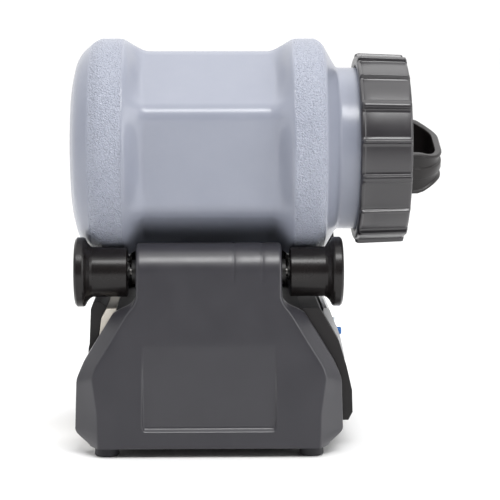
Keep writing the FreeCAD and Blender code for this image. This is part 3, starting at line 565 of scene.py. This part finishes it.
def grip_rows():
    """Sections of the strap along its loop, turned about the drum's axis."""
    inner = GRIP_HALF - GRIP_BAR
    inner_tip = GRIP_TIP - GRIP_BAR
    path = curve_points([
        (GRIP_FOOT, -inner), (GRIP_TIP - GRIP_BEND, -inner, GRIP_BEND), (inner_tip, -13),
        (inner_tip, 13, GRIP_BEND), (GRIP_TIP - GRIP_BEND, inner), (GRIP_FOOT, inner)], 10)
    rows = []
    for i, (x, u) in enumerate(path):
        before = path[max(i - 1, 0)]
        after = path[min(i + 1, len(path) - 1)]
        dx, du = after[0] - before[0], after[1] - before[1]
        size = math.hypot(dx, du)
        row = []
        width = GRIP_WIDE - (GRIP_WIDE - GRIP_NARROW) * ease(x, 176, inner_tip)
        for across, out in grip_section(width):
            px = x + du / size * out
            pu = u - dx / size * out
            pn = across - GRIP_LOW
            y = pu * math.cos(GRIP_TURN) - pn * math.sin(GRIP_TURN)
            z = pu * math.sin(GRIP_TURN) + pn * math.cos(GRIP_TURN)
            row.append((MID + px, y, DRUM_UP + z))
        rows.append(row)
    return rows


def lid(mat):
    """Lid disc with its loop grip, a strap that narrows towards its tip."""
    verts = []
    faces = []
    add_grid(verts, faces, grip_rows(), closed=True)
    disc = [(153.6, 0.5), (153.6, 70.8), (154, 71.2), (161.6, 71.2), (162, 70.8), (162, 58.2), (168.4, 58.2),
            (169, 57.6), (169, 54), (167.6, 52.4), (167.6, 12), (168.2, 10.5), (168.2, 0.5)]
    turns = [180 - 360 * k / 128 for k in range(128)]
    add_grid(verts, faces, [[around(x, r, a) for a in turns] for x, r in disc], closed=True)
    obj = new_piece("lid_with_grip", verts, faces)
    tidy_mesh(obj)
    round_edges(obj, 0.5, 2, 35)
    return finish_piece(obj, "lid", "lid_disc", mat)


# ---------------------------------------------------------------- materials
def material(name):
    mat = bpy.data.materials.new(name)
    mat.use_nodes = True
    nodes = mat.node_tree.nodes
    return mat, nodes, mat.node_tree.links, nodes["Principled BSDF"]


def node(nodes, kind, **values):
    item = nodes.new(kind)
    for key, value in values.items():
        if key in item.inputs:
            item.inputs[key].default_value = value
        else:
            setattr(item, key, value)
    return item


def remap(nodes, links, source, low, high, start=0.0, end=1.0, smooth=False):
    """Maps a socket's values from start..end to low..high."""
    item = nodes.new("ShaderNodeMapRange")
    if smooth:
        item.interpolation_type = "SMOOTHSTEP"
    item.inputs["From Min"].default_value = start
    item.inputs["From Max"].default_value = end
    item.inputs["To Min"].default_value = low
    item.inputs["To Max"].default_value = high
    links.new(source, item.inputs["Value"])
    return item.outputs["Result"]


def combine(nodes, links, operation, first, second):
    item = node(nodes, "ShaderNodeMath", operation=operation)
    links.new(first, item.inputs[0])
    links.new(second, item.inputs[1])
    return item.outputs["Value"]


def two_tones(nodes, links, source, dark, light, start, end):
    ramp = nodes.new("ShaderNodeValToRGB")
    for element, place, colour in zip(ramp.color_ramp.elements, (start, end), (dark, light)):
        element.position = place
        element.color = (*colour, 1)
    links.new(source, ramp.inputs["Fac"])
    return ramp.outputs["Color"]


def relief(nodes, links, height, strength, distance, under=None):
    """A Bump node over a socket of heights, laid over another normal if one is given."""
    item = node(nodes, "ShaderNodeBump", Strength=strength, Distance=distance * MM)
    links.new(height, item.inputs["Height"])
    if under:
        links.new(under, item.inputs["Normal"])
    return item


def noise(nodes, links, vector, **values):
    item = node(nodes, "ShaderNodeTexNoise", **values)
    links.new(vector, item.inputs["Vector"])
    return item.outputs["Fac"]


def mottled(name, colour, roughness, grain=0.6, depth=0.05, mottling=0.06, specular=0.5, metallic=0.0):
    """Moulded plastic, rubber or paint: faint cloudy colour, uneven gloss and a fine grain."""
    mat, nodes, links, shader = material(name)
    place = node(nodes, "ShaderNodeTexCoord").outputs["Object"]
    cloud = noise(nodes, links, place, Scale=38.0, Detail=5.0, Roughness=0.6)
    dark = [c * (1 - mottling) for c in colour]
    light = [min(1, c * (1 + mottling)) for c in colour]
    links.new(two_tones(nodes, links, cloud, dark, light, 0.3, 0.7), shader.inputs["Base Color"])
    gloss = remap(nodes, links, cloud, max(0.02, roughness - 0.07), min(1.0, roughness + 0.07))
    links.new(gloss, shader.inputs["Roughness"])
    fine = noise(nodes, links, place, Scale=1000.0 / grain, Detail=3.0, Roughness=0.55)
    links.new(relief(nodes, links, fine, 0.5, depth).outputs["Normal"], shader.inputs["Normal"])
    shader.inputs["Specular IOR Level"].default_value = specular
    shader.inputs["Metallic"].default_value = metallic
    return mat


SKIN_ZONES = ((-99.5, -72.5), (72.0, 97.5))       # where the drum's skin is pebbled
ZONE_FADE = 1.5


def band_mask(nodes, links, along_x):
    """1 on the pebbled zones of the drum, 0 elsewhere."""
    masks = []
    for low, high in SKIN_ZONES:
        edges = []
        for edge, before, after in ((low, 0.0, 1.0), (high, 1.0, 0.0)):
            start = (MID + edge - ZONE_FADE) * MM
            end = (MID + edge + ZONE_FADE) * MM
            edges.append(remap(nodes, links, along_x, before, after, start, end, smooth=True))
        masks.append(combine(nodes, links, "MULTIPLY", *edges))
    return combine(nodes, links, "ADD", *masks)


def drum_material():
    """Pale satin plastic with a pebbled, slightly paler skin on the two bands, and painted shade in the gaps
    between the pebbles.
    """
    mat, nodes, links, shader = material("drum_pale_plastic")
    place = node(nodes, "ShaderNodeTexCoord").outputs["Object"]
    cloud = noise(nodes, links, place, Scale=14.0, Detail=6.0, Roughness=0.6)
    colour = two_tones(nodes, links, cloud, (0.244, 0.260, 0.316), (0.264, 0.280, 0.336), 0.35, 0.65)
    axes = nodes.new("ShaderNodeSeparateXYZ")
    links.new(place, axes.inputs["Vector"])
    bands = band_mask(nodes, links, axes.outputs["X"])
    pebble = node(nodes, "ShaderNodeTexVoronoi", Scale=780.0)
    pebble.feature = "SMOOTH_F1"
    links.new(place, pebble.inputs["Vector"])
    skin = combine(nodes, links, "MULTIPLY", pebble.outputs["Distance"], bands)
    coarse = relief(nodes, links, skin, 1.0, 1.5)
    coarse.invert = True
    grain = noise(nodes, links, place, Scale=1300.0, Detail=2.0)
    fine = relief(nodes, links, grain, 0.25, 0.02, coarse.outputs["Normal"])
    links.new(fine.outputs["Normal"], shader.inputs["Normal"])
    # Painted shade: the base colour darkens to 0.8 in the low gaps between the pebbles.
    painted_pit_shade = remap(nodes, links, skin, 1.0, 0.8, 0.0, 0.9)
    paler = remap(nodes, links, bands, 1.0, 1.36)
    shade = nodes.new("ShaderNodeMix")
    shade.data_type = "RGBA"
    shade.blend_type = "MULTIPLY"
    shade.inputs["Factor"].default_value = 1.0
    links.new(colour, shade.inputs["A"])
    links.new(combine(nodes, links, "MULTIPLY", painted_pit_shade, paler), shade.inputs["B"])
    links.new(shade.outputs["Result"], shader.inputs["Base Color"])
    links.new(remap(nodes, links, bands, 0.24, 0.30), shader.inputs["Roughness"])
    shader.inputs["Specular IOR Level"].default_value = 0.5
    return mat


def steel_material(name, colour, roughness, across="X"):
    """Ground or plated steel with fine rings of brushing."""
    mat, nodes, links, shader = material(name)
    stretch = nodes.new("ShaderNodeMapping")
    stretch.inputs["Scale"].default_value = (3000, 60, 60) if across == "X" else (60, 60, 3000)
    place = node(nodes, "ShaderNodeTexCoord").outputs["Object"]
    links.new(place, stretch.inputs["Vector"])
    lines = noise(nodes, links, stretch.outputs["Vector"], Scale=1.0, Detail=2.0)
    links.new(remap(nodes, links, lines, roughness - 0.08, roughness + 0.12), shader.inputs["Roughness"])
    links.new(relief(nodes, links, lines, 0.3, 0.02).outputs["Normal"], shader.inputs["Normal"])
    shader.inputs["Base Color"].default_value = (*colour, 1)
    shader.inputs["Metallic"].default_value = 1.0
    return mat


def lens_material():
    mat, nodes, links, shader = material("clear_lens")
    place = node(nodes, "ShaderNodeTexCoord").outputs["Object"]
    haze = noise(nodes, links, place, Scale=400.0)
    links.new(remap(nodes, links, haze, 0.05, 0.2), shader.inputs["Roughness"])
    shader.inputs["Base Color"].default_value = (0.75, 0.85, 0.9, 1)
    shader.inputs["Transmission Weight"].default_value = 0.8
    return mat


def board_material():
    """Green laminate with faint woven fibres."""
    mat, nodes, links, shader = material("board_laminate")
    place = node(nodes, "ShaderNodeTexCoord").outputs["Object"]
    weave = node(nodes, "ShaderNodeTexChecker", Scale=900.0)
    weave.inputs["Color1"].default_value = (0.02, 0.16, 0.06, 1)
    weave.inputs["Color2"].default_value = (0.03, 0.20, 0.08, 1)
    links.new(place, weave.inputs["Vector"])
    links.new(weave.outputs["Color"], shader.inputs["Base Color"])
    shader.inputs["Roughness"].default_value = 0.35
    return mat


MATERIALS = {
    "drum_rubber": drum_material(),
    "lid_plastic": mottled("lid_grey", (0.011, 0.009, 0.009), 0.34, 0.5, 0.03, 0.06, 0.35),
    "ring_plastic": mottled("ring_grey", (0.012, 0.010, 0.013), 0.31, 0.5, 0.03, 0.06, 0.85),
    "seal_rubber": mottled("seal_black", (0.02, 0.02, 0.02), 0.6, 0.4, 0.03),
    "shaft_steel": steel_material("ground_steel", (0.14, 0.135, 0.13), 0.36),
    "roller_rubber": mottled("roller_black", (0.009, 0.0075, 0.0075), 0.24, 0.5, 0.03, 0.15, 0.3),
    "fixing_steel": steel_material("plated_steel", (0.20, 0.195, 0.19), 0.40, "Z"),
    "bushing_plastic": mottled("bushing_dark", (0.012, 0.011, 0.010), 0.45, 0.4, 0.03),
    "cover_plastic": mottled("cover_grey", (0.031, 0.030, 0.036), 0.33, 0.45, 0.05, 0.05, 0.7),
    "housing_plastic": mottled("housing_grey", (0.008, 0.007, 0.008), 0.5, 0.45, 0.05),
    "plate_steel": mottled("black_zinc", (0.02, 0.02, 0.022), 0.45, 0.8, 0.04, 0.2, metallic=0.6),
    "foot_rubber": mottled("foot_black", (0.025, 0.025, 0.03), 0.65, 0.5, 0.06),
    "trim_plastic": mottled("trim_cream", (0.60, 0.56, 0.49), 0.42, 0.5, 0.04),
    "dark_plastic": mottled("dark_satin", (0.009, 0.0075, 0.008), 0.42, 0.5, 0.04, 0.06, 0.35),
    "face_plastic": mottled("face_white", (0.58, 0.58, 0.59), 0.25, 0.6, 0.02, 0.02),
    "button_plastic": mottled("button_blue", (0.01, 0.13, 0.42), 0.25, 0.5, 0.02, 0.08),
    "button_dark": mottled("button_navy", (0.008, 0.02, 0.09), 0.3, 0.5, 0.02, 0.1),
    "board_plastic": board_material(),
    "lens_glass": lens_material(),
    "motor_paint": mottled("motor_enamel", (0.05, 0.05, 0.055), 0.35, 1.2, 0.06, 0.1),
    "motor_alloy": mottled("cast_alloy", (0.45, 0.45, 0.46), 0.42, 0.7, 0.06, 0.08, metallic=0.9),
    "rotor_iron": mottled("varnished_iron", (0.10, 0.07, 0.05), 0.4, 0.8, 0.05, 0.2, metallic=0.5),
    "belt_rubber": mottled("belt_black", (0.02, 0.02, 0.02), 0.6, 0.4, 0.04),
}


# ---------------------------------------------------------------- CAD nodes
def dress_nodes():
    """Gives every CAD node its material."""
    slots = {part["node"]: part["material_slot"] for part in frame["record"]["subparts"]}
    for name, obj in frame["nodes"].items():
        obj.data.materials.clear()
        obj.data.materials.append(MATERIALS[slots[name]])


ROUNDED = {"base_housing": 1.2, "control_housing": 1.4, "faceplate": 0.8, "rear_panel": 0.5,
           "rear_louvre": 0.6, "bottom_plate": 0.3, "power_button": 0.5, "timer_button": 0.5}


def soften_nodes():
    """Rounds the edges of moulded nodes, after joining their triangles into whole faces."""
    for name, width in ROUNDED.items():
        obj = frame["nodes"][name]
        weld = obj.modifiers.new("weld", "WELD")
        weld.merge_threshold = 0.00002
        flat = obj.modifiers.new("flat", "DECIMATE")
        flat.decimate_type = "DISSOLVE"
        flat.angle_limit = math.radians(1.5)
        round_edges(obj, width, 3, 28)
        normals = obj.modifiers.new("normals", "WEIGHTED_NORMAL")
        normals.keep_sharp = False
        normals.weight = 80


# ---------------------------------------------------------------- studio
def aim(obj, target):
    direction = Vector(target) - obj.location
    obj.rotation_euler = direction.to_track_quat("-Z", "Y").to_euler()


def soft_light(name, place, size, power):
    """A rectangular light at a place in metres from the middle of the base, aimed at the object."""
    data = bpy.data.lights.new(name, "AREA")
    data.shape = "RECTANGLE"
    data.size, data.size_y = size
    data.energy = power
    obj = bpy.data.objects.new(name, data)
    obj.location = (MID * MM + place[0], place[1], place[2])
    bpy.context.scene.collection.objects.link(obj)
    aim(obj, (MID * MM, 0, 0.18))


def surroundings():
    """White all round: dim behind the viewer, full behind the object and brightest overhead."""
    world = bpy.data.worlds.new("studio")
    bpy.context.scene.world = world
    world.use_nodes = True
    nodes = world.node_tree.nodes
    links = world.node_tree.links
    way = node(nodes, "ShaderNodeTexCoord")
    axes = nodes.new("ShaderNodeSeparateXYZ")
    links.new(way.outputs["Generated"], axes.inputs["Vector"])
    behind = remap(nodes, links, axes.outputs["Y"], 0.14, 1.12, -0.35, 0.75, smooth=True)
    above = remap(nodes, links, axes.outputs["Z"], 0.0, 1.5, 0.45, 0.95, smooth=True)
    nodes["Background"].inputs["Color"].default_value = (1, 1, 1, 1)
    links.new(combine(nodes, links, "ADD", behind, above), nodes["Background"].inputs["Strength"])


def floor(far=30.0, pale=0.82):
    mesh = bpy.data.meshes.new("floor")
    mesh.from_pydata([(-far, -far, 0), (far, -far, 0), (far, far, 0), (-far, far, 0)], [], [(0, 1, 2, 3)])
    obj = bpy.data.objects.new("floor", mesh)
    bpy.context.scene.collection.objects.link(obj)
    mat, _, _, shader = material("floor_white")
    shader.inputs["Base Color"].default_value = (pale, pale, pale, 1)
    shader.inputs["Roughness"].default_value = 0.9
    mesh.materials.append(mat)


def studio():
    """Pale floor, white surroundings and three large soft lights."""
    bpy.context.scene.view_settings.view_transform = "Standard"
    surroundings()
    floor()
    soft_light("key", (0.35, -1.3, 2.1), (1.4, 0.6), 32)
    soft_light("left", (-2.2, -0.8, 1.0), (1.0, 1.8), 8)
    soft_light("right", (2.0, -1.0, 1.0), (1.0, 1.8), 18)


CAMERA_BACK = -1.557
CAMERA_UP = 0.3566


def camera():
    """Looks along +Y from a little above the drum's top, slightly downwards and to the right."""
    data = bpy.data.cameras.new("camera")
    data.lens = 128.9
    data.sensor_width = 36
    obj = bpy.data.objects.new("camera", data)
    obj.location = (MID * MM, CAMERA_BACK, CAMERA_UP)
    aim(obj, (MID * MM + 0.0361, 0, CAMERA_UP - 0.19575))
    bpy.context.scene.collection.objects.link(obj)
    bpy.context.scene.camera = obj


dress_nodes()
soften_nodes()
drum_piece(MATERIALS["drum_rubber"])
thread_piece("neck_thread", "drum", NECK, NECK + THREAD_DEEP, 131.5, 1.25,
             MATERIALS["drum_rubber"])
side_cover("near_cover", "near_side_cover", False, MATERIALS["cover_plastic"])
side_cover("far_cover", "far_side_cover", True, MATERIALS["cover_plastic"])
deck_ridges(MATERIALS["housing_plastic"])
lock_ring(MATERIALS["ring_plastic"])
thread_piece("ring_thread", "ring", RING_BORE, RING_BORE - THREAD_DEEP, 137.5, 1.05,
             MATERIALS["ring_plastic"])
lid(MATERIALS["lid_plastic"])
studio()
camera()
